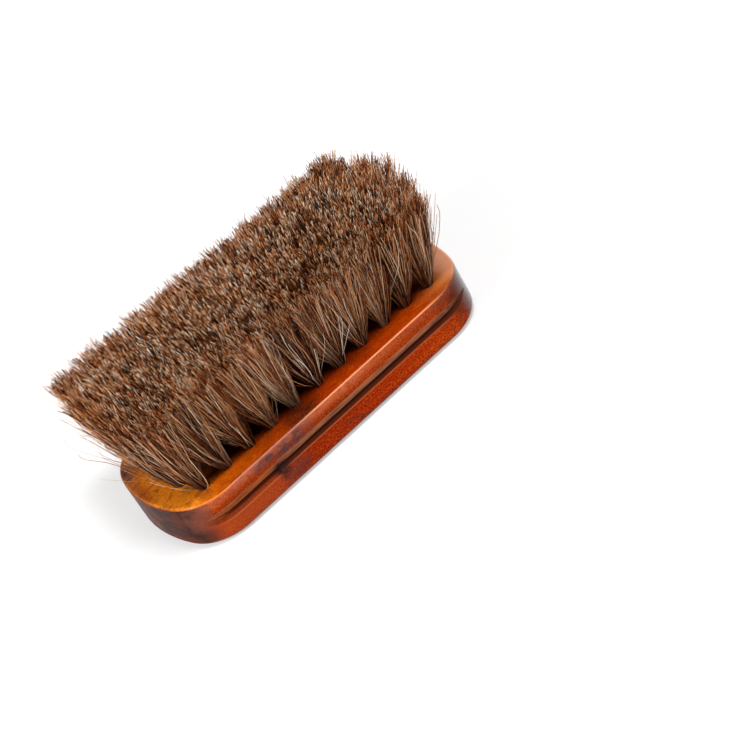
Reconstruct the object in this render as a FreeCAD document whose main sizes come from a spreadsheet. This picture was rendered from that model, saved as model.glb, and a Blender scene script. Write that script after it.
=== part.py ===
import FreeCAD, Part
import math
import os
import Sketcher

# Shoe shine brush, lying on its wooden back with the bristles up.
# X runs along the block, Y across it, Z from the back towards the bristles.
# The origin is the middle of the flat back. All sizes are in millimetres.

ROWS = 5
TUFTS_PER_ROW = 11
TUFT_SIDES = 9

SIZES = {
    # Wooden block
    "block_length": 151.0,
    "block_width": 66.0,
    "block_thickness": 20.4,
    "end_bow": 9.5,
    "corner_radius": 21.0,
    "face_round": 1.2,
    "back_round": 3.5,
    # Finger groove along each long side, heights from the back.
    # Near each end it turns in with the corner, on a wider curve, until it runs out of the wood.
    "groove_depth": 1.7,
    "groove_back_lip": 9.4,
    "groove_crease": 11.0,
    "groove_face_lip": 14.6,
    "groove_turn_start": 23.0,
    "groove_turn_radius": 28.0,
    "groove_turn_angle": 36.0,
    # The cutter's second pass on one side runs a little lower, up to this distance from the middle
    "second_pass_drop": 1.0,
    "second_pass_start": 33.0,
    # Planed bevel at each end of the back
    "bevel_run": 10.5,
    "bevel_drop": 3.4,
    # Tuft holes: margins from the block's edges to the outermost hole centres
    "side_margin": 10.9,
    "end_margin": 18.2,
    "row_bow": 5.1,
    "hole_diameter": 4.5,
    "hole_depth": 13.0,
    # Hair tufts. They fan out, use has swept their tips to the left and back, and each tip is crowned.
    "tuft_length": 35.0,
    "tuft_clearance": 0.1,
    "tuft_gap": 0.35,
    "merge_height": 11.0,
    "flare_along": 8.3,
    "flare_across": 8.6,
    "swept_left": 2.6,
    "swept_back": 3.4,
    "crown_height": 3.0,
    "crown_inset": 2.4,
    # Flat steel anchors that hold the folded hair in the holes
    "anchor_thickness": 0.4,
    "anchor_height": 1.6,
    "anchor_clearance": 0.05,
    "fold_depth": 0.9,
}

doc = FreeCAD.newDocument("shoe_shine_brush")

sheet = doc.addObject("Spreadsheet::Sheet", "Sizes")
for number, (alias, value) in enumerate(SIZES.items(), start=1):
    sheet.set(f"A{number}", alias)
    sheet.set(f"B{number}", str(value))
    sheet.setAlias(f"B{number}", alias)
doc.recompute()


# Formulas that several pieces share

HALF_LENGTH = "Sizes.block_length / 2"
HALF_WIDTH = "Sizes.block_width / 2"
FACE = "Sizes.block_thickness"
OUTER_ROW_REACH = f"({HALF_LENGTH} - Sizes.end_margin)"
OUTER_ROW_OFFSET = f"({HALF_WIDTH} - Sizes.side_margin)"
HOLE_FLOOR = f"({FACE} - Sizes.hole_depth)"
TURN_START = f"({HALF_LENGTH} - Sizes.groove_turn_start)"
FIRST_PASS = "0"
SECOND_PASS = "Sizes.second_pass_drop"
ANCHOR_LENGTH = "(Sizes.hole_diameter - 2 * Sizes.anchor_clearance)"

MIDDLE_ROW = (ROWS - 1) / 2
MIDDLE_TUFT = (TUFTS_PER_ROW - 1) / 2


def row_reach(row):
    """Half the distance between a row's end tufts. The rows bow out with the block's ends."""
    share = 1 - ((row - MIDDLE_ROW) / MIDDLE_ROW) ** 2
    return f"({OUTER_ROW_REACH} + Sizes.row_bow * {share})"


def row_offset(row):
    return f"({OUTER_ROW_OFFSET} * {(row - MIDDLE_ROW) / MIDDLE_ROW})"


def tuft_station(row, tuft):
    return f"({row_reach(row)} * {(tuft - MIDDLE_TUFT) / MIDDLE_TUFT})"


# Sketch and feature helpers

def origin_plane(body, role):
    for plane in body.Origin.OriginFeatures:
        if plane.Role == role:
            return plane
    raise ValueError(role)


def new_sketch(body, name, role, offset=None):
    """A sketch on one of the body's own origin planes, moved along its normal by a formula."""
    sketch = body.newObject("Sketcher::SketchObject", name)
    sketch.AttachmentSupport = [(origin_plane(body, role), "")]
    sketch.MapMode = "FlatFace"
    if offset:
        sketch.setExpression("AttachmentOffset.Base.z", offset)
    return sketch


def place_point(sketch, point, across, up):
    """Holds a sketch point, (geometry, point), at two formulas measured from the sketch's origin."""
    now = sketch.getPoint(*point)
    for kind, value, formula in (("DistanceX", now.x, across), ("DistanceY", now.y, up)):
        index = sketch.addConstraint(Sketcher.Constraint(kind, -1, 1, *point, value))
        sketch.setExpression(f"Constraints[{index}]", formula)


def add_polygon(sketch, corners):
    """A closed polygon whose corners are pairs of formulas."""
    first = sketch.GeometryCount
    count = len(corners)
    rough = [FreeCAD.Vector(number, number ** 2, 0) for number in range(count + 1)]
    for number in range(count):
        sketch.addGeometry(Part.LineSegment(rough[number], rough[number + 1]))
    for number in range(count):
        following = first + (number + 1) % count
        sketch.addConstraint(Sketcher.Constraint("Coincident", first + number, 2, following, 1))
    for number, (across, up) in enumerate(corners):
        place_point(sketch, (first + number, 1), across, up)


def add_ring(sketch, across, up, radius):
    """A regular polygon with as many sides as a tuft, its first corner along the sketch's first axis."""
    turns = [math.tau * number / TUFT_SIDES for number in range(TUFT_SIDES)]
    add_polygon(sketch, [(f"{across} + {radius} * {math.cos(turn)}", f"{up} + {radius} * {math.sin(turn)}")
                         for turn in turns])


def cut_through(body, sketch, name):
    """Cuts a sketch right through the body, on both sides of the sketch's plane."""
    pocket = body.newObject("PartDesign::Pocket", name)
    pocket.Profile = sketch
    pocket.Type = "ThroughAll"
    pocket.SideType = "Symmetric"
    return pocket


def edge_names(feature, wanted):
    """Names of the feature's edges for which wanted(edge) is true."""
    edges = feature.Shape.Edges
    return [f"Edge{number}" for number, edge in enumerate(edges, start=1) if wanted(edge)]


def round_edges(body, base, name, radius, wanted):
    doc.recompute()
    fillet = body.newObject("PartDesign::Fillet", name)
    fillet.Base = (base, edge_names(base, wanted))
    fillet.setExpression("Radius", radius)
    return fillet


def stands_upright(edge):
    box = edge.BoundBox
    return box.ZLength > max(box.XLength, box.YLength)


def lies_at(height):
    def test(edge):
        box = edge.BoundBox
        tolerance = 0.001
        return box.ZLength < tolerance and abs(box.ZMin - height) < tolerance
    return test


# Wooden block

def draw_block_outline(body):
    """Two straight sides joined by ends that bow out along an arc."""
    half_length = float(sheet.block_length) / 2
    half_width = float(sheet.block_width) / 2
    shoulder = half_length - float(sheet.end_bow)
    corners = {(x, y): FreeCAD.Vector(x * shoulder, y * half_width, 0) for x in (-1, 1) for y in (-1, 1)}
    apex = FreeCAD.Vector(half_length, 0, 0)
    sketch = new_sketch(body, "block_outline", "XY_Plane")
    near = sketch.addGeometry(Part.LineSegment(corners[-1, -1], corners[1, -1]))
    right = sketch.addGeometry(Part.Arc(corners[1, -1], apex, corners[1, 1]))
    far = sketch.addGeometry(Part.LineSegment(corners[1, 1], corners[-1, 1]))
    left = sketch.addGeometry(Part.Arc(corners[-1, 1], -apex, corners[-1, -1]))
    ring = (near, right, far, left)
    for this, following in zip(ring, ring[1:] + ring[:1]):
        sketch.addConstraint(Sketcher.Constraint("Coincident", this, 2, following, 1))
    shoulder_formula = f"{HALF_LENGTH} - Sizes.end_bow"
    place_point(sketch, (near, 1), f"-({shoulder_formula})", f"-{HALF_WIDTH}")
    place_point(sketch, (near, 2), shoulder_formula, f"-{HALF_WIDTH}")
    place_point(sketch, (far, 1), shoulder_formula, HALF_WIDTH)
    place_point(sketch, (far, 2), f"-({shoulder_formula})", HALF_WIDTH)
    for arc, sign in ((right, ""), (left, "-")):
        middle = sketch.addGeometry(Part.Point(apex if arc == right else -apex), True)
        place_point(sketch, (middle, 1), f"{sign}{HALF_LENGTH}", "0")
        sketch.addConstraint(Sketcher.Constraint("PointOnObject", middle, 1, arc))
    return sketch


def groove_corners(side, drop):
    """V profile of a finger groove, lowered by drop, reaching a little outside the block's flat side."""
    wall = f"{side} * {HALF_WIDTH}"
    outside = f"{side} * ({HALF_WIDTH} + Sizes.groove_depth)"
    crease = f"{side} * ({HALF_WIDTH} - Sizes.groove_depth)"
    face_lip = f"Sizes.groove_face_lip - {drop}"
    back_lip = f"Sizes.groove_back_lip - {drop}"
    return [
        (outside, face_lip),
        (wall, face_lip),
        (crease, f"Sizes.groove_crease - {drop}"),
        (wall, back_lip),
        (outside, back_lip),
    ]


def turn_groove_in(body, name, end, side, drop):
    """Carries a groove from the end of its straight run round the corner, about an upright axis."""
    sketch = new_sketch(body, f"{name}_profile", "YZ_Plane", f"{end} * {TURN_START}")
    add_polygon(sketch, groove_corners(side, drop))
    foot, top = FreeCAD.Vector(0, 0, 0), FreeCAD.Vector(0, -end * side, 0)
    axis = sketch.addGeometry(Part.LineSegment(foot, top), True)
    pivot = f"{side} * ({HALF_WIDTH} - Sizes.groove_turn_radius)"
    place_point(sketch, (axis, 1), pivot, "0")
    place_point(sketch, (axis, 2), pivot, f"{-end * side} * {FACE}")
    turn = body.newObject("PartDesign::Groove", name)
    turn.Profile = sketch
    turn.ReferenceAxis = (sketch, ["Axis0"])
    turn.setExpression("Angle", "Sizes.groove_turn_angle")


def bevel_corners(side):
    """Wedge under the back's end. Its slope passes through the bevel's inner edge and the end's tip."""
    inner = f"{side} * ({HALF_LENGTH} - Sizes.bevel_run)"
    outer = f"{side} * ({HALF_LENGTH} + Sizes.bevel_run)"
    below = "-Sizes.bevel_drop"
    return [(inner, "0"), (outer, "2 * Sizes.bevel_drop"), (outer, below), (inner, below)]


def drill_row(body, row):
    """One row of blind tuft holes, repeated along the block from its first hole."""
    sketch = new_sketch(body, f"row_{row + 1}_hole", "XY_Plane", FACE)
    add_ring(sketch, tuft_station(row, 0), row_offset(row), "Sizes.hole_diameter / 2")
    hole = body.newObject("PartDesign::Pocket", f"row_{row + 1}_first_hole")
    hole.Profile = sketch
    hole.setExpression("Length", "Sizes.hole_depth")
    doc.recompute()
    pattern = body.newObject("PartDesign::LinearPattern", f"row_{row + 1}_holes")
    pattern.Originals = [hole]
    pattern.Direction = (sketch, ["H_Axis"])
    pattern.setExpression("Length", f"2 * {row_reach(row)}")
    pattern.Occurrences = TUFTS_PER_ROW
    body.Tip = pattern


def make_block():
    body = doc.addObject("PartDesign::Body", "handle_block")
    pad = body.newObject("PartDesign::Pad", "block_pad")
    pad.Profile = draw_block_outline(body)
    pad.setExpression("Length", FACE)
    corners = round_edges(body, pad, "corners", "Sizes.corner_radius", stands_upright)
    thickness = float(sheet.block_thickness)
    face = round_edges(body, corners, "face_edge", "Sizes.face_round", lies_at(thickness))
    round_edges(body, face, "back_edge", "Sizes.back_round", lies_at(0))

    grooves = new_sketch(body, "groove_profile", "YZ_Plane")
    for side in (-1, 1):
        add_polygon(grooves, groove_corners(side, FIRST_PASS))
    straight_grooves = body.newObject("PartDesign::Pocket", "finger_grooves")
    straight_grooves.Profile = grooves
    straight_grooves.SideType = "Symmetric"
    straight_grooves.setExpression("Length", f"2 * {TURN_START}")

    second_pass = new_sketch(body, "second_pass_profile", "YZ_Plane", "-Sizes.second_pass_start")
    add_polygon(second_pass, groove_corners(-1, SECOND_PASS))
    lower_groove = body.newObject("PartDesign::Pocket", "second_groove_pass")
    lower_groove.Profile = second_pass
    lower_groove.setExpression("Length", f"{TURN_START} - Sizes.second_pass_start")

    turn_groove_in(body, "second_pass_turn", -1, -1, SECOND_PASS)
    turn_groove_in(body, "near_left_turn", -1, -1, FIRST_PASS)
    turn_groove_in(body, "near_right_turn", 1, -1, FIRST_PASS)
    turn_groove_in(body, "far_left_turn", -1, 1, FIRST_PASS)
    turn_groove_in(body, "far_right_turn", 1, 1, FIRST_PASS)

    bevels = new_sketch(body, "end_bevel_profile", "XZ_Plane")
    for side in (-1, 1):
        add_polygon(bevels, bevel_corners(side))
    cut_through(body, bevels, "end_bevels")

    for row in range(ROWS):
        drill_row(body, row)
    return body


# Hair tufts and their anchors

def set_place(item, x, y, z):
    item.setExpression("Placement.Base.x", x)
    item.setExpression("Placement.Base.y", y)
    item.setExpression("Placement.Base.z", z)


def spread_radius(share):
    """Tuft radius where neighbours nearly touch, at a share of the lean towards the tips."""
    along = f"({OUTER_ROW_REACH} + Sizes.flare_along * {share}) / {MIDDLE_TUFT}"
    across = f"({OUTER_ROW_OFFSET} + Sizes.flare_across * {share}) / {MIDDLE_ROW}"
    return f"(min({along}; {across}) - Sizes.tuft_gap) / 2"


def make_tuft(row, tuft):
    """Hair folded over its anchor: a foot in the hole, a flare until the tufts meet, then crowned tips."""
    name = f"tuft_row{row + 1}_{tuft + 1:02d}"
    x = tuft_station(row, tuft)
    y = row_offset(row)
    lean_x = f"(Sizes.flare_along * {(tuft - MIDDLE_TUFT) / MIDDLE_TUFT} - Sizes.swept_left)"
    lean_y = f"(Sizes.flare_across * {(row - MIDDLE_ROW) / MIDDLE_ROW} + Sizes.swept_back)"
    shoulder = "(Sizes.tuft_length - Sizes.crown_height)"
    merge_share = "Sizes.merge_height / Sizes.tuft_length"
    shoulder_share = f"{shoulder} / Sizes.tuft_length"
    foot_radius = "Sizes.hole_diameter / 2 - Sizes.tuft_clearance"
    rings = [
        ("foot", f"{HOLE_FLOOR} + Sizes.tuft_clearance", foot_radius, "0"),
        ("mouth", FACE, foot_radius, "0"),
        ("merge", f"{FACE} + Sizes.merge_height", spread_radius(merge_share), merge_share),
        ("shoulder", f"{FACE} + {shoulder}", spread_radius(shoulder_share), shoulder_share),
        ("tips", f"{FACE} + Sizes.tuft_length", f"{spread_radius('1')} - Sizes.crown_inset", "1"),
    ]
    sections = []
    for ring, height, radius, lean in rings:
        section = doc.addObject("Part::RegularPolygon", f"{name}_{ring}")
        section.Polygon = TUFT_SIDES
        section.setExpression("Circumradius", radius)
        set_place(section, f"{x} + {lean_x} * {lean}", f"{y} + {lean_y} * {lean}", height)
        sections.append(section)
    hair = doc.addObject("Part::Loft", f"{name}_hair")
    hair.Sections = sections
    hair.Solid = True
    hair.Ruled = True
    hair.Linearize = True

    fold = doc.addObject("Part::Box", f"{name}_fold")
    fold.setExpression("Length", "Sizes.anchor_thickness + 2 * Sizes.anchor_clearance")
    fold.setExpression("Width", "Sizes.hole_diameter")
    fold.setExpression("Height", "Sizes.anchor_height + 2 * Sizes.anchor_clearance")
    set_place(fold, f"{x} - Sizes.anchor_thickness / 2 - Sizes.anchor_clearance",
              f"{y} - Sizes.hole_diameter / 2",
              f"{HOLE_FLOOR} + Sizes.fold_depth - Sizes.anchor_clearance")
    folded = doc.addObject("Part::Cut", name)
    folded.Base = hair
    folded.Tool = fold
    return folded


def make_anchor(row, tuft):
    anchor = doc.addObject("Part::Box", f"anchor_row{row + 1}_{tuft + 1:02d}")
    anchor.setExpression("Length", "Sizes.anchor_thickness")
    anchor.setExpression("Width", ANCHOR_LENGTH)
    anchor.setExpression("Height", "Sizes.anchor_height")
    set_place(anchor, f"{tuft_station(row, tuft)} - Sizes.anchor_thickness / 2",
              f"{row_offset(row)} - {ANCHOR_LENGTH} / 2", f"{HOLE_FLOOR} + Sizes.fold_depth")
    return anchor


stations = [(row, tuft) for row in range(ROWS) for tuft in range(TUFTS_PER_ROW)]
block = make_block()
tufts = [make_tuft(row, tuft) for row, tuft in stations]
anchors = doc.addObject("Part::Compound", "tuft_anchors")
anchors.Links = [make_anchor(row, tuft) for row, tuft in stations]
doc.recompute()


# Every object has to be sound before anything is written

for item in doc.Objects:
    if "Invalid" in item.State or "Error" in item.State:
        raise RuntimeError(f"{item.Label} failed: {item.State}")

nodes = [block, anchors] + tufts
for node in nodes:
    if node.Shape.isNull() or not node.Shape.isValid():
        raise RuntimeError(f"{node.Label} has no valid shape")
    expected = len(stations) if node is anchors else 1
    if len(node.Shape.Solids) != expected:
        raise RuntimeError(f"{node.Label} has {len(node.Shape.Solids)} solids")

os.makedirs("parts", exist_ok=True)
for node in nodes:
    node.Shape.exportStep(f"parts/{node.Label}.step")
print(f"{len(nodes)} nodes, block volume {block.Shape.Volume / 1000:.1f} cm3")
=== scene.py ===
"""Looks of the shoe shine brush: a stained, varnished block of wood with fifty-five tufts of horsehair."""

import math

import bpy
import numpy as np
from mathutils import Matrix, Vector


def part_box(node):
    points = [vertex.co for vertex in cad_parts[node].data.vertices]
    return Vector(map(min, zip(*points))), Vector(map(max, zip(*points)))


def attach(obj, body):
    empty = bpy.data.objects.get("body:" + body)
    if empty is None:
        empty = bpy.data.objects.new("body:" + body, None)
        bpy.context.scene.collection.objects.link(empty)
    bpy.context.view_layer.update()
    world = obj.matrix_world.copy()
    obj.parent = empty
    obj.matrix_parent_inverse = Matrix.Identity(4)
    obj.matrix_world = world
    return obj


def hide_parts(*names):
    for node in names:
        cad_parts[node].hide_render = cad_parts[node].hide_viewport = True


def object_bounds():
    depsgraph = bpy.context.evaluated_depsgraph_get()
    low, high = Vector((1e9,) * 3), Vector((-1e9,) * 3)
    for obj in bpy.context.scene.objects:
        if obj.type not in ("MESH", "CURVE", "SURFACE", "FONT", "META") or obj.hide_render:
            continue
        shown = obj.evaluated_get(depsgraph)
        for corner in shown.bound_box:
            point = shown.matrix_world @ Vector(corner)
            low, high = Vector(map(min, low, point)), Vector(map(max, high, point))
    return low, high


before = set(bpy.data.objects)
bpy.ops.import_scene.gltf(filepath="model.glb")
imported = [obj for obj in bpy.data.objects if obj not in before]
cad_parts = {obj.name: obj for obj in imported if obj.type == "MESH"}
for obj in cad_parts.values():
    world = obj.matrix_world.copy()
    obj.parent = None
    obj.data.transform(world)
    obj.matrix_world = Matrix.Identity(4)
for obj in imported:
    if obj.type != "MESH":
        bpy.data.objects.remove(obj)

MM = 0.001
CAD_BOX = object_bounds()
BLOCK_TOP_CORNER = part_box("handle_block")[1] / MM
FACE = BLOCK_TOP_CORNER.z
HALF_WIDTH = BLOCK_TOP_CORNER.y
ROWS = 5
TUFTS_PER_ROW = 11

# Heights of the finger groove above the back, and where its lower second pass begins, in millimetres
GROOVE_BACK_LIP = 9.4
GROOVE_CREASE = 11.0
GROOVE_FACE_LIP = 14.6
SECOND_PASS_START = -33.0
SECOND_PASS_DROP = 1.0

# Length along the brush, in millimetres, over which the colours of the face are spread
FACE_COLOURS_OVER = 160.0

# Blots of stain and of painted reflection: how ragged they are, and where they end and where they are full,
# as shares of their reach
BLOT_RAGGED = 1.4
BLOT_END = 1.8
BLOT_FULL = 1.0

# Hairs of a tuft: how many, how thick in millimetres, and their stations as shares of their length
INNER_HAIRS = 430
OUTER_HAIRS = 680
HAIR_THICKNESS = 0.36
HAIR_THICKNESS_SPREAD = 0.22
OUTSIDE_FINER = 0.68
TAPER_STATIONS = (0.0, 0.6, 1.0)
TAPER = (1.0, 0.9, 0.8)
HAIR_SIDES = 3
OUTER_STATIONS = (-0.06, 0.12, 0.34, 0.58, 0.78, 0.90, 0.96, 1.0)
INNER_STATIONS = (-0.06, 0.25, 0.55, 0.86, 0.95, 1.0)
FIRST_SEED = 100

# How a tuft opens from its hole to its trimmed tips, in millimetres
BUNDLE_RADIUS = 1.95
FAN = 10.5
FAN_FOLLOWS_ROOT = 0.6
FAN_STRAYS = 0.6
FAN_CURVE = 0.8
TUFT_LEAN_VARIES = 0.6
TIPS_PROUD = 0.9
FAR_PROUD = 1.2
TIP_DOME = 1.0
TRIM_SPREAD = 0.5
SHORT_SHARE = 0.10
SHORT_BY = 8.0

# How far tips splay at the right end, draw in at the left end and sweep to the far side, in millimetres,
# and the places along the brush where each begins and where it is full
END_SPLAY = 6.5
SPLAY_FROM = 8.0
SPLAY_TO = 60.0
SPLAY_MIDDLE = 8.0
SPLAY_REACH = 42.0
LEFT_PULL = 3.5
PULL_FROM = -20.0
PULL_TO = -62.0
END_CURVE = 1.5
SWEPT_BACK = 4.2
SWEPT_FROM = 60.0
SWEPT_TO = -25.0
SWEEP_CURVE = 1.6

# Waves and bends of the hairs, and the few that stray from the rest, in millimetres
WOBBLE = 0.65
WOBBLE_RISE = 2.5
FEWEST_WAVES = 0.5
TIP_BEND = 0.6
BEND_CURVE = 5
STRAY_SHARE = 0.07
STRAY_REACH = 3.5
STRAY_CURVE = 1.2
STRAY_LIMIT = 5.5
LOOSE_SHARE = 0.02
LOOSE_REACH = 7.0
LOOSE_CURVE = 0.7
LOOSE_TALL = (0.45, 0.90)

# Clumps and locks: small and large groups of neighbouring tips that bend, end and look alike
CLUMPS_PER_TUFT = 240
CLUMP_PULL = 0.95
PULL_CURVE = 0.25
GATHER_CURVE = 2
CLUMP_BEND = 1.4
CLUMP_TRIM = 0.7
CLUMP_SHADE = 0.3
LOCKS_PER_TUFT = 22
LOCK_TRIM = 0.5
LOCK_SHADE = 0.11

# Shades of the hairs, from 0 for the darkest to 1 for the lightest
SHADE_SPREAD = (0.24, 0.30)
MIDDLE_SHADE = 0.42
STRAY_SHADE = 0.6
TUFT_SHADE = 0.03
LIGHTEST = 0.999
GREY_SHARE = 0.27
GREY_VARIES = 0.10
COLOUR_BANDS = 96

# The outside of the brush, where whole hairs show: its depth in millimetres, how its shades differ, and how
# much painted shade darkens it
SIDE_SEEN = 8.0
SIDE_CONTRAST = 0.85
SIDE_PAINTED_SHADE = 0.07

# Power of the map along a hair: the higher it is, the nearer to its tip the painted shade keeps a hair dark
DARK_OUTSIDE = 1.0
DARK_INSIDE = 36.0

# The floor in metres, its own light by the brush, further off and far away, and the light all round
FLOOR_REACH = 3.0
FLOOR_DROP = 0.0002
FLOOR_GLOW = (0.38, 0.60, 1.0)
GLOW_REACH = (0.10, 0.32, 1.0)
WORLD_LIGHT = 0.22

# The camera of the photograph: where it stands in millimetres, how it is turned, and its lens
CAMERA_PLACE = (-220.36, -711.8, 504.32)
CAMERA_RIGHT = (0.713, -0.5544, -0.4293)
CAMERA_UP = (0.6461, 0.2815, 0.7094)
CAMERA_BACK = (-0.2725, -0.7832, 0.5589)
CAMERA_LENS = 115.9
SENSOR_WIDTH = 36.0


def srgb(red, green, blue):
    """A shader colour from the three numbers, 0 to 255, that a screen shows."""
    def linear(value):
        share = value / 255
        if share <= 0.04045:
            return share / 12.92
        return ((share + 0.055) / 1.055) ** 2.4
    return (linear(red), linear(green), linear(blue), 1.0)


class Shader:
    """A Principled material and short ways of adding nodes to it."""

    def __init__(self, name):
        self.material = bpy.data.materials.new(name)
        self.material.use_nodes = True
        self.tree = self.material.node_tree
        self.surface = self.tree.nodes["Principled BSDF"]

    def plug(self, socket, value):
        """Links an output to a socket, or sets the socket to a constant."""
        if isinstance(value, bpy.types.NodeSocket):
            self.tree.links.new(value, socket)
        else:
            socket.default_value = value

    def set(self, **inputs):
        """Sets or links the surface's inputs, with _ for each space in a name."""
        for name, value in inputs.items():
            self.plug(self.surface.inputs[name.replace("_", " ")], value)

    def node(self, kind, settings=None, **inputs):
        """Adds a node, with its settings and its named inputs."""
        added = self.tree.nodes.new("ShaderNode" + kind)
        for name, value in (settings or {}).items():
            setattr(added, name, value)
        for name, value in inputs.items():
            self.plug(added.inputs[name.replace("_", " ")], value)
        return added

    def math(self, operation, *values):
        """The result of an operation on numbers."""
        added = self.node("Math", {"operation": operation})
        for socket, value in zip(added.inputs, values):
            self.plug(socket, value)
        return added.outputs[0]

    def vector(self, operation, *values):
        """The result of an operation on vectors: a number for LENGTH, and otherwise a vector."""
        added = self.node("VectorMath", {"operation": operation})
        for socket, value in zip(added.inputs, values):
            self.plug(socket, value)
        return added.outputs["Value" if operation == "LENGTH" else "Vector"]

    def product(self, first, *others):
        """The values multiplied together."""
        for other in others:
            first = self.math("MULTIPLY", first, other)
        return first

    def between(self, share, low, high):
        """low where the share is 0 and high where it is 1."""
        return self.math("MULTIPLY_ADD", share, high - low, low)

    def fade(self, value, start, end):
        """0 where value is at start and 1 where it is at end, smooth between them."""
        added = self.node("MapRange", {"interpolation_type": "SMOOTHSTEP"}, Value=value)
        self.plug(added.inputs["From Min"], start)
        self.plug(added.inputs["From Max"], end)
        return added.outputs["Result"]

    def mix(self, share, first, second, blend="MIX"):
        """The first colour where the share is 0 and the second, or their blend, where it is 1."""
        added = self.node("Mix", {"data_type": "RGBA", "blend_type": blend}, Factor=share)
        self.plug(added.inputs[6], first)
        self.plug(added.inputs[7], second)
        return added.outputs[2]

    def tint(self, colour, mask, strength, paint):
        """The colour with paint over it where the mask is, of the given strength."""
        return self.mix(self.product(mask, strength), colour, paint)

    def noise(self, coordinates, detail=3.0, roughness=0.5, distortion=0.0):
        """Soft random patches, about one unit of the coordinates in size."""
        added = self.node("TexNoise", Vector=coordinates, Scale=1.0, Detail=detail,
                          Roughness=roughness, Distortion=distortion)
        return added.outputs["Fac"]

    def ramp(self, value, stops):
        """A colour for each value, through the given (position, colour) stops."""
        added = self.node("ValToRGB", Fac=value)
        elements = added.color_ramp.elements
        while len(elements) < len(stops):
            elements.new(0.5)
        for element, (position, colour) in zip(elements, stops):
            element.position = position
            element.color = colour
        return added.outputs["Color"]


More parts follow.
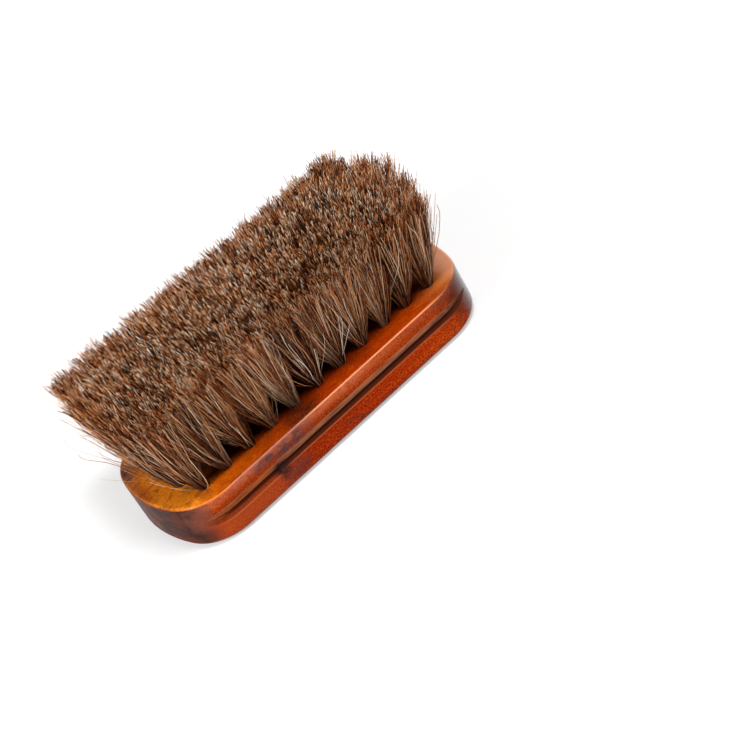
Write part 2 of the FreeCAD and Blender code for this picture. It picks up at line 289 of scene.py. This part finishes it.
class Wood(Shader):
    """Stained hardwood, with the places in millimetres and the grain that its colours share."""

    def __init__(self, name):
        super().__init__(name)
        coordinates = self.node("TexCoord").outputs
        self.place = self.vector("MULTIPLY", coordinates["Object"], (1 / MM, 1 / MM, 1 / MM))
        place = self.node("SeparateXYZ", Vector=self.place).outputs
        normal = self.node("SeparateXYZ", Vector=coordinates["Normal"]).outputs
        self.x = place["X"]
        self.y = place["Y"]
        self.z = place["Z"]
        self.along = self.math("ABSOLUTE", self.x)
        self.depth = self.math("SUBTRACT", HALF_WIDTH, self.math("ABSOLUTE", self.y))
        self.tilt = normal["Z"]
        self.facing_end = self.fade(self.math("ABSOLUTE", normal["X"]), 0.38, 0.8)
        self.facing_down = self.fade(self.tilt, -0.5, -0.85)

        self.figure = self.grain((55, 6, 6), 4.0, 0.55, 0.6)
        self.blotch = self.grain((15, 10, 6), 3.0, 0.6, 0.5)
        self.cloud = self.grain((7, 4, 4), 4.0, 0.6, 0.8)
        self.fleck = self.grain((0.9, 0.5, 0.5), 2.0, 0.6)
        self.fine = self.grain((9, 0.35, 0.35), 3.0, 0.6)
        self.flecks = self.fade(self.fleck, 0.48, 0.60)
        self.sparks = self.fade(self.fleck, 0.44, 0.34)
        self.smudges = self.fade(self.grain((3.5, 2, 2), 3.0, 0.6, 0.6), 0.42, 0.58)

    def grain(self, size, *character):
        """Noise in patches of the given size along each axis."""
        scale = tuple(1 / length for length in size)
        return self.noise(self.vector("MULTIPLY", self.place, scale), *character)

    def blot(self, middle, reach):
        """1 around a point, fading out raggedly at the given reach along each axis."""
        scale = tuple(1 / length for length in reach)
        offset = self.vector("SUBTRACT", self.place, middle)
        distance = self.vector("LENGTH", self.vector("MULTIPLY", offset, scale))
        ragged = self.math("MULTIPLY_ADD", self.cloud, BLOT_RAGGED, distance)
        return self.fade(ragged, BLOT_END, BLOT_FULL)

    def blots(self, first, *others):
        """Several blots together, each given as its middle and its reach."""
        together = self.blot(*first)
        for other in others:
            together = self.math("MAXIMUM", together, self.blot(*other))
        return together

    def face(self):
        """The bristle face: amber, red brown and orange from left to right, with painted light at both ends
        and painted shade among the hair.
        """
        # The wood's own amber, red brown and orange, with the amber at the left end lightened as painted
        # light
        colour = self.ramp(self.math("MULTIPLY_ADD", self.x, 1 / FACE_COLOURS_OVER, 0.5), [
            (0.07, srgb(255, 150, 36)),
            (0.15, srgb(208, 94, 8)),
            (0.40, srgb(152, 45, 3)),
            (0.62, srgb(170, 52, 2)),
            (0.78, srgb(196, 68, 4)),
            (0.90, srgb(200, 108, 46)),
        ])
        tone = self.ramp(self.figure, [(0.32, srgb(214, 206, 200)), (0.66, srgb(255, 255, 255))])
        colour = self.mix(1.0, colour, tone, "MULTIPLY")
        colour = self.tint(colour, self.fade(self.cloud, 0.48, 0.66), 0.5, srgb(116, 36, 5))
        colour = self.tint(colour, self.fade(self.cloud, 0.44, 0.30), 0.35, srgb(226, 96, 14))
        # Painted light: the left end of the face, away from its long edges, is lit up with pale amber where
        # the hair shades it
        left_painted_light = self.product(self.fade(self.x, -52.0, -62.0), self.fade(self.depth, 3.0, 8.0))
        colour = self.tint(colour, left_painted_light, 0.65, srgb(255, 148, 32))
        left_mottle = self.product(self.fade(self.x, -50.0, -58.0), self.fade(self.cloud, 0.46, 0.64))
        colour = self.tint(colour, left_mottle, 0.6, srgb(140, 60, 18))
        stain = self.blots(((-13.5, -28.5, 20), (10, 8, 4)), ((-72, 20, 20), (8, 12, 4)))
        colour = self.tint(colour, stain, self.between(self.smudges, 0.68, 0.98), srgb(58, 24, 11))
        rim_stain = self.blot((-74, 2, 20), (5, 14, 4))
        colour = self.tint(colour, rim_stain, 0.6, srgb(142, 58, 24))
        colour = self.tint(colour, self.flecks, 0.32, srgb(112, 32, 4))
        colour = self.tint(colour, self.sparks, 0.2, srgb(228, 112, 20))
        # Painted light: the right end of the face, away from its long edges, is lit up with pale orange
        # where the hair shades it
        right_painted_light = self.product(self.fade(self.x, 52.0, 64.0), self.fade(self.depth, 3.0, 7.0))
        colour = self.tint(colour, right_painted_light, 0.75, srgb(240, 142, 74))
        # Painted shade: the face goes almost black among the hair, away from its ends
        shade_among_hair = self.product(self.fade(self.depth, 11.0, 14.0), self.fade(self.along, 62.0, 57.0))
        return self.tint(colour, shade_among_hair, 0.85, srgb(44, 18, 8))

    def face_band(self):
        """The long sides between the groove and the face: flecked, with a pale painted highlight towards
        the face.
        """
        colour = self.ramp(self.figure, [
            (0.32, srgb(156, 50, 4)),
            (0.52, srgb(186, 66, 6)),
            (0.68, srgb(204, 86, 16)),
        ])
        colour = self.tint(colour, self.flecks, 0.65, srgb(108, 30, 8))
        colour = self.tint(colour, self.sparks, 0.35, srgb(230, 112, 30))
        # Painted highlight: a pale pink glow near the face's edge, in patches, strongest from the middle to
        # the left
        near_face = self.fade(self.z, GROOVE_FACE_LIP + 1.0, FACE - 1.0)
        glow = self.product(near_face, self.fade(self.cloud, 0.75, 0.35))
        strength = self.between(self.fade(self.x, 40.0, 0.0), 0.2, 0.75)
        return self.tint(colour, glow, strength, srgb(216, 118, 80))

    def back_band(self):
        """The long sides between the back and the groove: redder, and more flecked towards the right."""
        colour = self.ramp(self.figure, [
            (0.32, srgb(162, 44, 0)),
            (0.52, srgb(188, 56, 0)),
            (0.68, srgb(204, 74, 6)),
        ])
        colour = self.mix(self.fade(self.blotch, 0.58, 0.70), colour, srgb(124, 50, 34))
        colour = self.mix(self.fade(self.x, -20.0, -44.0), colour, srgb(182, 74, 30))
        speckled = self.fade(self.x, -46.0, -14.0)
        colour = self.tint(colour, self.flecks, self.between(speckled, 0.3, 0.8), srgb(92, 18, 4))
        return self.tint(colour, self.sparks, self.between(speckled, 0.1, 0.5), srgb(232, 98, 6))

    def groove(self, colour):
        """Adds the groove: an upper slope made pale by painted reflection and streaked with grain, a lower
        one darkened by painted shade and lit up towards the left, a dark crease, and a painted highlight
        along its lip.
        """
        lowest = GROOVE_BACK_LIP - SECOND_PASS_DROP
        above_lip = self.fade(self.z, lowest - 0.8, lowest)
        inside = self.product(above_lip, self.fade(self.z, GROOVE_FACE_LIP + 1.0, GROOVE_FACE_LIP + 0.4))
        leftward = self.fade(self.x, -28.0, -38.0)
        # Painted reflection: the downward upper slope is pale grey tan, streaked with the grain
        upper_tone = self.mix(leftward, srgb(196, 122, 84), srgb(196, 104, 52))
        upper_tone = self.tint(upper_tone, self.fade(self.fine, 0.40, 0.62), 0.75, srgb(112, 62, 44))
        colour = self.tint(colour, self.fade(self.tilt, -0.15, -0.35), inside, upper_tone)
        # Painted shade: the upward lower slope is dark brown, made lighter towards the left as painted
        # light
        lower_tone = self.mix(leftward, srgb(78, 27, 7), srgb(138, 53, 19))
        lower_tone = self.tint(lower_tone, self.flecks, 0.4, srgb(52, 18, 8))
        colour = self.tint(colour, self.fade(self.tilt, 0.25, 0.5), inside, lower_tone)

        past_step = self.fade(self.x, SECOND_PASS_START + 0.4, SECOND_PASS_START - 0.4)
        second_pass = self.product(past_step, self.fade(self.y, 1.0, -1.0))
        crease_height = self.between(second_pass, GROOVE_CREASE, GROOVE_CREASE - SECOND_PASS_DROP / 2)
        from_crease = self.math("ABSOLUTE", self.math("SUBTRACT", self.z, crease_height))
        from_crease = self.math("MULTIPLY_ADD", second_pass, -0.3, from_crease)
        crease = self.product(self.fade(from_crease, 0.6, 0.25), self.fade(self.along, 62.0, 54.0))
        colour = self.tint(colour, crease, 0.85, srgb(38, 17, 9))
        # Painted highlight: a thin pale line along the groove's lower lip
        lip_height = self.between(second_pass, GROOVE_BACK_LIP, GROOVE_BACK_LIP - SECOND_PASS_DROP)
        from_lip = self.math("ABSOLUTE", self.math("SUBTRACT", self.z, lip_height))
        lip_highlight = self.product(self.fade(from_lip, 0.38, 0.1), self.fade(self.along, 66.0, 60.0))
        return self.tint(colour, lip_highlight, 0.4, srgb(206, 112, 66))

    def back_and_ends(self, colour):
        """Adds the brown back and the dark, blotched ends."""
        back = self.ramp(self.figure, [
            (0.30, srgb(74, 36, 26)),
            (0.55, srgb(112, 58, 40)),
            (0.72, srgb(134, 74, 50)),
        ])
        ends = self.ramp(self.blotch, [
            (0.36, srgb(50, 32, 30)),
            (0.52, srgb(74, 42, 37)),
            (0.68, srgb(122, 52, 28)),
        ])
        colour = self.mix(self.facing_down, colour, back)
        return self.mix(self.facing_end, colour, ends)

    def side_stains_and_reflection(self, colour):
        """Adds marks on the sides: grey patches, brown stains, a dark stain at the groove's step, and a
        pale painted reflection at one corner.
        """
        grey = self.blots(
            ((-24, -33, 17), (13, 8, 5)),
            ((-36, -33, 18), (8, 8, 3)),
            ((30, 33, 9), (14, 8, 8)),
        )
        colour = self.tint(colour, grey, self.between(self.smudges, 0.35, 0.95), srgb(76, 60, 62))
        colour = self.tint(colour, self.blot((-28, -33, 5), (9, 8, 5)), 0.6, srgb(86, 52, 46))
        colour = self.tint(colour, self.blot((70, -30, 13), (24, 10, 14)), 0.85, srgb(82, 34, 20))
        # Painted reflection: a pale greyish patch at the near left corner
        colour = self.tint(colour, self.blot((-70, -28.5, 14), (9, 8, 8)), 0.55, srgb(146, 84, 66))
        return self.tint(colour, self.blot((-32, -32, 9.8), (4.5, 4, 4.5)), 0.85, srgb(46, 26, 25))

    def worn_edge_and_highlight(self, colour):
        """Adds the edge of the face along the long sides: a pale line, partly stain worn pale and partly
        painted highlight.
        """
        # Painted highlight with wear: peach in the middle and right, mauve further left, orange at the left
        # end
        worn_and_highlight = self.mix(self.fade(self.x, -6.0, -22.0), srgb(252, 164, 104), srgb(178, 116, 98))
        worn_and_highlight = self.mix(self.fade(self.x, -44.0, -56.0), worn_and_highlight, srgb(234, 134, 66))
        from_below = self.fade(self.z, FACE - 0.75, FACE - 0.5)
        from_above = self.fade(self.z, FACE - 0.1, FACE - 0.3)
        on_side = self.math("SUBTRACT", 1.0, self.facing_end)
        edge = self.product(from_below, from_above, on_side, self.fade(self.x, 62.0, 46.0))
        return self.tint(colour, edge, 0.8, worn_and_highlight)

    def varnish(self, colour):
        """Sets the surface: thin varnish over the grain, glossy at the right end."""
        gloss = self.math("MAXIMUM", self.facing_end, self.fade(self.z, GROOVE_FACE_LIP + 1.4, FACE - 0.8))
        gloss = self.math("MAXIMUM", gloss, self.facing_down)
        gloss = self.product(gloss, self.between(self.facing_end, 1.0, 0.3))
        right_end = self.fade(self.x, 61.0, 70.0)
        coat = self.math("MULTIPLY_ADD", right_end, 0.9, self.between(gloss, 0.02, 0.18))
        height = self.math("ADD", self.product(self.fine, 0.6), self.product(self.fleck, -0.5))
        bump = self.node("Bump", Height=height, Strength=0.12, Distance=0.2 * MM)
        self.set(Base_Color=colour, Roughness=self.between(self.fine, 0.28, 0.48))
        self.set(Normal=bump.outputs["Normal"], Coat_Weight=coat)
        self.set(Specular_IOR_Level=0.02, Coat_Roughness=0.14, Coat_IOR=1.6)


def wood_material():
    """Varnished hardwood: orange on the face, redder and flecked on the sides, dark on ends and back."""
    wood = Wood("stained_wood_varnish")
    past_crease = wood.fade(wood.z, GROOVE_CREASE - 0.5, GROOVE_CREASE + 1.5)
    colour = wood.mix(past_crease, wood.back_band(), wood.face_band())
    colour = wood.groove(colour)
    colour = wood.back_and_ends(colour)
    colour = wood.side_stains_and_reflection(colour)
    colour = wood.mix(wood.fade(wood.z, FACE - 1.0, FACE - 0.3), colour, wood.face())
    colour = wood.tint(colour, wood.fade(wood.fine, 0.5, 0.75), 0.22, srgb(84, 34, 14))
    colour = wood.worn_edge_and_highlight(colour)
    wood.varnish(colour)
    return wood.material


def steel_material():
    """Flat drawn steel of the anchors at the bottom of the holes."""
    steel = Shader("anchor_steel_drawn")
    place = steel.node("TexCoord").outputs["Object"]
    draw_lines = steel.noise(steel.vector("MULTIPLY", place, (400.0, 9000.0, 9000.0)))
    colour = steel.ramp(draw_lines, [(0.3, srgb(120, 118, 114)), (0.7, srgb(168, 166, 160))])
    steel.set(Base_Color=colour, Roughness=steel.between(draw_lines, 0.25, 0.50), Metallic=1.0)
    return steel.material


def hair_material():
    """Horsehair: each band of the map is one shade of hair, and the map runs from root to tip, with painted
    shade darkening each hair towards its root.
    """
    hair = Shader("horsehair_strands")
    uv = hair.node("SeparateXYZ", Vector=hair.node("UVMap", {"uv_map": "OFBake"}).outputs["UV"]).outputs
    length_share = uv["X"]
    band = uv["Y"]
    level = hair.math("FRACT", hair.product(band, 2.0))
    brown = hair.ramp(level, [
        (0.00, srgb(24, 10, 4)),
        (0.22, srgb(102, 43, 13)),
        (0.44, srgb(189, 102, 48)),
        (0.62, srgb(228, 152, 94)),
        (0.80, srgb(238, 194, 148)),
        (1.00, srgb(252, 232, 206)),
    ])
    grey = hair.ramp(level, [
        (0.00, srgb(22, 12, 7)),
        (0.22, srgb(92, 44, 21)),
        (0.44, srgb(169, 106, 66)),
        (0.62, srgb(214, 162, 122)),
        (0.80, srgb(234, 202, 170)),
        (1.00, srgb(252, 240, 226)),
    ])
    shade = hair.mix(hair.math("GREATER_THAN", band, 0.5), brown, grey)
    # Painted shade: each hair darkens towards its root
    root = hair.mix(0.68, shade, srgb(32, 13, 5))
    colour = hair.mix(hair.fade(length_share, 0.0, 0.6), root, shade)
    hair.set(Base_Color=colour, Roughness=0.42, Specular_IOR_Level=0.1)
    return hair.material


def rise(values, start, end):
    """0 up to start and 1 from end on, straight between them."""
    return np.clip((values - start) / (end - start), 0, 1)


def disc(generator, count):
    """Points spread evenly over a unit disc."""
    radius = np.sqrt(generator.random(count))
    angle = generator.random(count) * 2 * math.pi
    return np.stack([radius * np.cos(angle), radius * np.sin(angle)], axis=1)


def folded(points, low, high):
    """Points past the trimmed outline, turned back inside it."""
    points = np.where(points < low, 2 * low - points, points)
    return np.where(points > high, 2 * high - points, points)


def grouped(generator, tips, count):
    """The group of each tip, by the nearest of some tips picked at random, and those picked tips."""
    middles = tips[generator.choice(len(tips), count, replace=False)]
    group = np.linalg.norm(tips[:, None] - middles[None], axis=2).argmin(axis=1)
    return group, middles


def tuft_points(node):
    """The corners of a tuft's solid, in millimetres."""
    return np.array([vertex.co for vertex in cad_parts[node].data.vertices]) / MM


def tuft_ends(node):
    """The middle of a tuft at the bristle face and at its trimmed tips."""
    points = tuft_points(node)
    heights = points[:, 2]
    same_height = 0.05
    mouth = points[np.abs(heights - FACE) < same_height].mean(axis=0)
    tips = points[np.abs(heights - heights.max()) < same_height].mean(axis=0)
    return mouth, tips


def row_outline(nodes):
    """The lowest and highest corners, in plan, that the trimmed tips of a row may reach."""
    row = np.concatenate([tuft_points(node) for node in nodes])
    whole = np.array(CAD_BOX) / MM
    low = np.array([row[:, 0].min(), whole[0][1]])
    high = np.array([row[:, 0].max(), whole[1][1] + FAR_PROUD])
    return low, high


def tip_sweep(tips):
    """How far the tips splay at the right end, draw in at the left end and sweep to the far side."""
    along = tips[:, 0]
    across = tips[:, 1]
    towards_middle = np.clip(1 - ((across - SPLAY_MIDDLE) / SPLAY_REACH) ** 2, 0, 1)
    splay = END_SPLAY * rise(along, SPLAY_FROM, SPLAY_TO) ** END_CURVE * towards_middle
    pull = LEFT_PULL * rise(along, PULL_FROM, PULL_TO) ** END_CURVE
    return np.stack([splay + pull, SWEPT_BACK * rise(along, SWEPT_FROM, SWEPT_TO)], axis=1)


def hair_lengths(generator, tall, fan, clump, lock, loose):
    """The height of each hair: trimmed unevenly to a low dome, with some short and some loose hairs."""
    count = len(fan)
    short = generator.random(count) < SHORT_SHARE
    trim = generator.normal(0, TRIM_SPREAD, count) - short * generator.random(count) * SHORT_BY
    trim += generator.normal(0, CLUMP_TRIM, CLUMPS_PER_TUFT)[clump]
    trim -= TIP_DOME * (fan ** 2).sum(axis=1) / FAN ** 2
    trim += generator.normal(0, LOCK_TRIM, LOCKS_PER_TUFT)[lock]
    loose_tall = tall * generator.uniform(*LOOSE_TALL, count)
    return np.where(loose, loose_tall, tall + trim)


def hair_shades(generator, clump, lock, hidden, apart):
    """Each hair's place on the map: brown in one half, grey in the other, each from dark to light."""
    own_shade = generator.beta(*SHADE_SPREAD, len(clump))
    clump_shade = generator.beta(*SHADE_SPREAD, CLUMPS_PER_TUFT)[clump]
    shade = CLUMP_SHADE * clump_shade + (1 - CLUMP_SHADE) * own_shade
    shade += generator.normal(0, LOCK_SHADE, LOCKS_PER_TUFT)[lock]
    shade = MIDDLE_SHADE + (shade - MIDDLE_SHADE) * (SIDE_CONTRAST + (1 - SIDE_CONTRAST) * hidden)
    # Painted shade: hairs on the outside of the brush are made darker
    shade -= SIDE_PAINTED_SHADE * (1 - hidden)
    stray_shade = STRAY_SHADE + (1 - STRAY_SHADE) * own_shade
    shade = np.where(apart, stray_shade, shade) + generator.normal(0, TUFT_SHADE)
    grey = generator.random(CLUMPS_PER_TUFT)[clump] < GREY_SHARE + generator.normal(0, GREY_VARIES)
    return (np.clip(shade, 0.0, LIGHTEST) + grey) / 2


def tuft_strands(generator, node, outline, stations, count):
    """A tuft's hairs: their centre lines, their shades, and from 0 to 1 how hidden each one is."""
    mouth, tips = tuft_ends(node)
    low, high = outline
    tall = tips[2] - mouth[2] + TIPS_PROUD
    root = disc(generator, count)
    fan = FAN * (FAN_FOLLOWS_ROOT * root + FAN_STRAYS * disc(generator, count))
    tip = folded(tips[:2] + generator.normal(0, TUFT_LEAN_VARIES, 2) + fan, low, high)
    inside = np.minimum(tip - low, high - tip).min(axis=1)
    hidden = np.clip(inside / SIDE_SEEN - 1, 0, 1)

    clump, clump_middles = grouped(generator, tip, CLUMPS_PER_TUFT)
    pull = CLUMP_PULL * generator.random((count, 1)) ** PULL_CURVE
    gather = (clump_middles[clump] - tip) * pull
    lock, _ = grouped(generator, tip, LOCKS_PER_TUFT)
    bend = generator.normal(0, TIP_BEND, (count, 2))
    bend += generator.normal(0, CLUMP_BEND, (CLUMPS_PER_TUFT, 2))[clump] * pull

    stray = generator.random(count) < STRAY_SHARE
    stray_reach = generator.normal(0, STRAY_REACH, (count, 2)) * stray[:, None]
    loose = generator.random(count) < LOOSE_SHARE
    loose_reach = generator.normal(0, LOOSE_REACH, (count, 2)) * loose[:, None]
    hair_tall = hair_lengths(generator, tall, fan, clump, lock, loose)
    phase = generator.random((count, 2)) * 2 * math.pi
    waves = FEWEST_WAVES + generator.random((count, 2))
    swing = generator.normal(0, WOBBLE, (count, 2))

    along = np.clip(np.array(stations), 0, None)[None, :, None]
    height = np.array(stations)[None, :] * hair_tall[:, None]
    share = np.clip(height / tall, 0, None)[:, :, None]
    opening = share ** FAN_CURVE
    line = mouth[:2] + root[:, None] * BUNDLE_RADIUS * (1 - opening) + (tip - mouth[:2])[:, None] * opening
    wave = np.sin(2 * math.pi * waves[:, None] * share + phase[:, None]) - np.sin(phase[:, None])
    line = line + swing[:, None] * wave * np.minimum(1, WOBBLE_RISE * share)
    line = line + bend[:, None] * share ** BEND_CURVE + gather[:, None] * share ** GATHER_CURVE
    line = line + stray_reach[:, None] * share ** STRAY_CURVE + loose_reach[:, None] * along ** LOOSE_CURVE
    line = np.clip(line, low - STRAY_LIMIT, high + STRAY_LIMIT)
    line = line + tip_sweep(tip)[:, None] * share ** SWEEP_CURVE
    lines = np.concatenate([line, (mouth[2] + height)[:, :, None]], axis=2)
    return lines, hair_shades(generator, clump, lock, hidden, stray | loose), hidden


def tube_points(generator, stations, lines, hidden):
    """The corners of thin tapered tubes along the given centre lines, in metres, ring by ring."""
    count = len(lines)
    tangent = np.gradient(lines, axis=1)
    tangent /= np.linalg.norm(tangent, axis=2, keepdims=True)
    unlike_any_hair = np.array([0.31, 0.95, 0.05])
    aside = np.cross(tangent, unlike_any_hair)
    aside /= np.linalg.norm(aside, axis=2, keepdims=True)
    upright = np.cross(tangent, aside)
    thick = HAIR_THICKNESS * np.exp(generator.normal(0, HAIR_THICKNESS_SPREAD, (count, 1)))
    thick *= OUTSIDE_FINER + (1 - OUTSIDE_FINER) * hidden[:, None]
    taper = np.interp(stations, TAPER_STATIONS, TAPER)
    radius = (thick * taper[None] / 2)[:, :, None, None]
    turn = generator.random((count, 1, 1)) * 2 * math.pi
    angle = turn + np.arange(HAIR_SIDES)[None, None] * 2 * math.pi / HAIR_SIDES
    ring = np.cos(angle)[..., None] * aside[:, :, None] + np.sin(angle)[..., None] * upright[:, :, None]
    return (lines[:, :, None] + radius * ring).reshape(-1, 3) * MM


def tube_faces(count, levels):
    """The four corners of each face of the tubes."""
    start = (np.arange(count) * levels * HAIR_SIDES)[:, None, None]
    level = (np.arange(levels - 1) * HAIR_SIDES)[None, :, None]
    side = np.arange(HAIR_SIDES)[None, None]
    beside = (side + 1) % HAIR_SIDES
    base = start + level
    above = base + HAIR_SIDES
    faces = np.stack([base + side, base + beside, above + beside, above + side], axis=3)
    return faces.reshape(-1, 4)


def tube_map(stations, shades, hidden):
    """The map of each face's corners: along the hair from root to tip, and across the band of its shade."""
    band = np.floor(shades * COLOUR_BANDS)
    # Hairs deep in the brush get a steeper map, so their painted shade reaches nearer their tips
    power = DARK_OUTSIDE + (DARK_INSIDE - DARK_OUTSIDE) * hidden
    along = np.clip(np.array(stations), 0, 1)[None] ** power[:, None]
    u = np.stack([along[:, :-1], along[:, :-1], along[:, 1:], along[:, 1:]], axis=2)[:, :, None]
    v_low = (np.arange(HAIR_SIDES) + 0.5) / (HAIR_SIDES + 1)
    v_high = (np.arange(HAIR_SIDES) + 1.5) / (HAIR_SIDES + 1)
    v = np.stack([v_low, v_high, v_high, v_low], axis=1)[None, None]
    v = (band[:, None, None, None] + v) / COLOUR_BANDS
    shape = (len(shades), len(stations) - 1, HAIR_SIDES, 4)
    return np.stack([np.broadcast_to(u, shape), np.broadcast_to(v, shape)], axis=-1)


def strand_mesh(generator, name, stations, lines, shades, hidden):
    """One mesh of hairs along the given centre lines, with the OFBake map."""
    points = tube_points(generator, stations, lines, hidden)
    faces = tube_faces(len(lines), len(stations))
    mesh = bpy.data.meshes.new(name)
    mesh.vertices.add(len(points))
    mesh.vertices.foreach_set("co", points.astype(np.float32).ravel())
    mesh.loops.add(faces.size)
    mesh.loops.foreach_set("vertex_index", faces.astype(np.int32).ravel())
    mesh.polygons.add(len(faces))
    mesh.polygons.foreach_set("loop_start", np.arange(0, faces.size, 4, dtype=np.int32))
    mesh.polygons.foreach_set("use_smooth", np.ones(len(faces), dtype=bool))
    layer = mesh.uv_layers.new(name="OFBake")
    layer.data.foreach_set("uv", tube_map(stations, shades, hidden).astype(np.float32).ravel())
    mesh.update(calc_edges=True)
    return mesh


def add_piece(name, mesh, material, replaced):
    """Adds a piece of the object that stands for the given nodes."""
    mesh.materials.append(material)
    piece = bpy.data.objects.new(name, mesh)
    bpy.context.scene.collection.objects.link(piece)
    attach(piece, "root")
    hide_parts(*replaced)


def add_hair():
    """Five lengthwise rows of hair, each row a left and a right piece."""
    material = hair_material()
    half = (TUFTS_PER_ROW + 1) // 2
    for row in range(1, ROWS + 1):
        generator = np.random.default_rng(FIRST_SEED + row)
        nodes = [f"tuft_row{row}_{tuft:02d}" for tuft in range(1, TUFTS_PER_ROW + 1)]
        outline = row_outline(nodes)
        outer = row in (1, ROWS)
        stations = OUTER_STATIONS if outer else INNER_STATIONS
        count = OUTER_HAIRS if outer else INNER_HAIRS
        for side, held in (("left", nodes[:half]), ("right", nodes[half:])):
            name = f"hair_row{row}_{side}"
            tufts = [tuft_strands(generator, node, outline, stations, count) for node in held]
            parts = [np.concatenate(part) for part in zip(*tufts)]
            add_piece(name, strand_mesh(generator, name, stations, *parts), material, held)


def dress_cad():
    """The finish of the pieces whose solids show as they are."""
    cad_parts["handle_block"].data.materials[0] = wood_material()
    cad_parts["tuft_anchors"].data.materials[0] = steel_material()


def seen_rays(tree):
    """1 for the rays that show the backdrop: from the camera, mirrored, or through something clear."""
    path = tree.nodes.new("ShaderNodeLightPath").outputs
    seen = path["Is Camera Ray"]
    for ray in ("Is Glossy Ray", "Is Transmission Ray"):
        either = tree.nodes.new("ShaderNodeMath")
        either.operation = "MAXIMUM"
        tree.links.new(seen, either.inputs[0])
        tree.links.new(path[ray], either.inputs[1])
        seen = either.outputs[0]
    return seen


def add_floor():
    """A pale floor that keeps the shadow of the brush and turns white away from it."""
    corners = [(-1, -1), (1, -1), (1, 1), (-1, 1)]
    points = [(x * FLOOR_REACH, y * FLOOR_REACH, -FLOOR_DROP) for x, y in corners]
    mesh = bpy.data.meshes.new("floor")
    mesh.from_pydata(points, [], [(0, 1, 2, 3)])
    paper = Shader("floor_white")
    paper.set(Base_Color=srgb(218, 218, 218), Roughness=0.9, Specular_IOR_Level=0.1)
    away = paper.vector("LENGTH", paper.node("TexCoord").outputs["Object"])
    by_brush, further, far = FLOOR_GLOW
    near_reach, middle_reach, far_reach = GLOW_REACH
    glow = paper.between(paper.fade(away, near_reach, middle_reach), by_brush, further)
    glow = paper.math("MULTIPLY_ADD", paper.fade(away, middle_reach, far_reach), far - further, glow)
    strength = paper.product(seen_rays(paper.tree), glow)
    paper.set(Emission_Color=(1.0, 1.0, 1.0, 1.0), Emission_Strength=strength)
    mesh.materials.append(paper.material)
    floor = bpy.data.objects.new("floor", mesh)
    bpy.context.scene.collection.objects.link(floor)


def add_softbox(name, place, size, power):
    """A square soft light that faces the middle of the brush."""
    lamp = bpy.data.lights.new(name, "AREA")
    lamp.shape = "SQUARE"
    lamp.size = size
    lamp.energy = power
    light = bpy.data.objects.new(name, lamp)
    light.location = place
    aim = Vector((0, 0, FACE * MM)) - light.location
    light.rotation_euler = aim.to_track_quat("-Z", "Y").to_euler()
    bpy.context.scene.collection.objects.link(light)


def add_light():
    """Even white surroundings and soft boxes above, to the right and to the left."""
    world = bpy.data.worlds.new("studio")
    world.use_nodes = True
    tree = world.node_tree
    background = tree.nodes["Background"]
    background.inputs["Color"].default_value = (1.0, 1.0, 1.0, 1.0)
    level = tree.nodes.new("ShaderNodeMapRange")
    level.inputs["To Min"].default_value = WORLD_LIGHT
    level.inputs["To Max"].default_value = 1.0
    tree.links.new(seen_rays(tree), level.inputs["Value"])
    tree.links.new(level.outputs["Result"], background.inputs["Strength"])
    bpy.context.scene.world = world
    add_softbox("top_light", (0.14, -0.23, 0.90), 0.30, 5.2)
    add_softbox("right_light", (0.60, -0.66, 0.48), 0.5, 2.0)
    add_softbox("left_light", (-0.80, -0.14, 0.58), 0.35, 6.0)


def add_camera():
    """The camera of the photograph."""
    lens = bpy.data.cameras.new("camera")
    lens.lens = CAMERA_LENS
    lens.sensor_width = SENSOR_WIDTH
    camera = bpy.data.objects.new("camera", lens)
    turn = Matrix((CAMERA_RIGHT, CAMERA_UP, CAMERA_BACK)).transposed()
    camera.matrix_world = Matrix.Translation(Vector(CAMERA_PLACE) * MM) @ turn.to_4x4()
    bpy.context.scene.collection.objects.link(camera)
    bpy.context.scene.camera = camera


dress_cad()
add_hair()
add_floor()
add_light()
add_camera()
bpy.context.scene.view_settings.view_transform = "Standard"
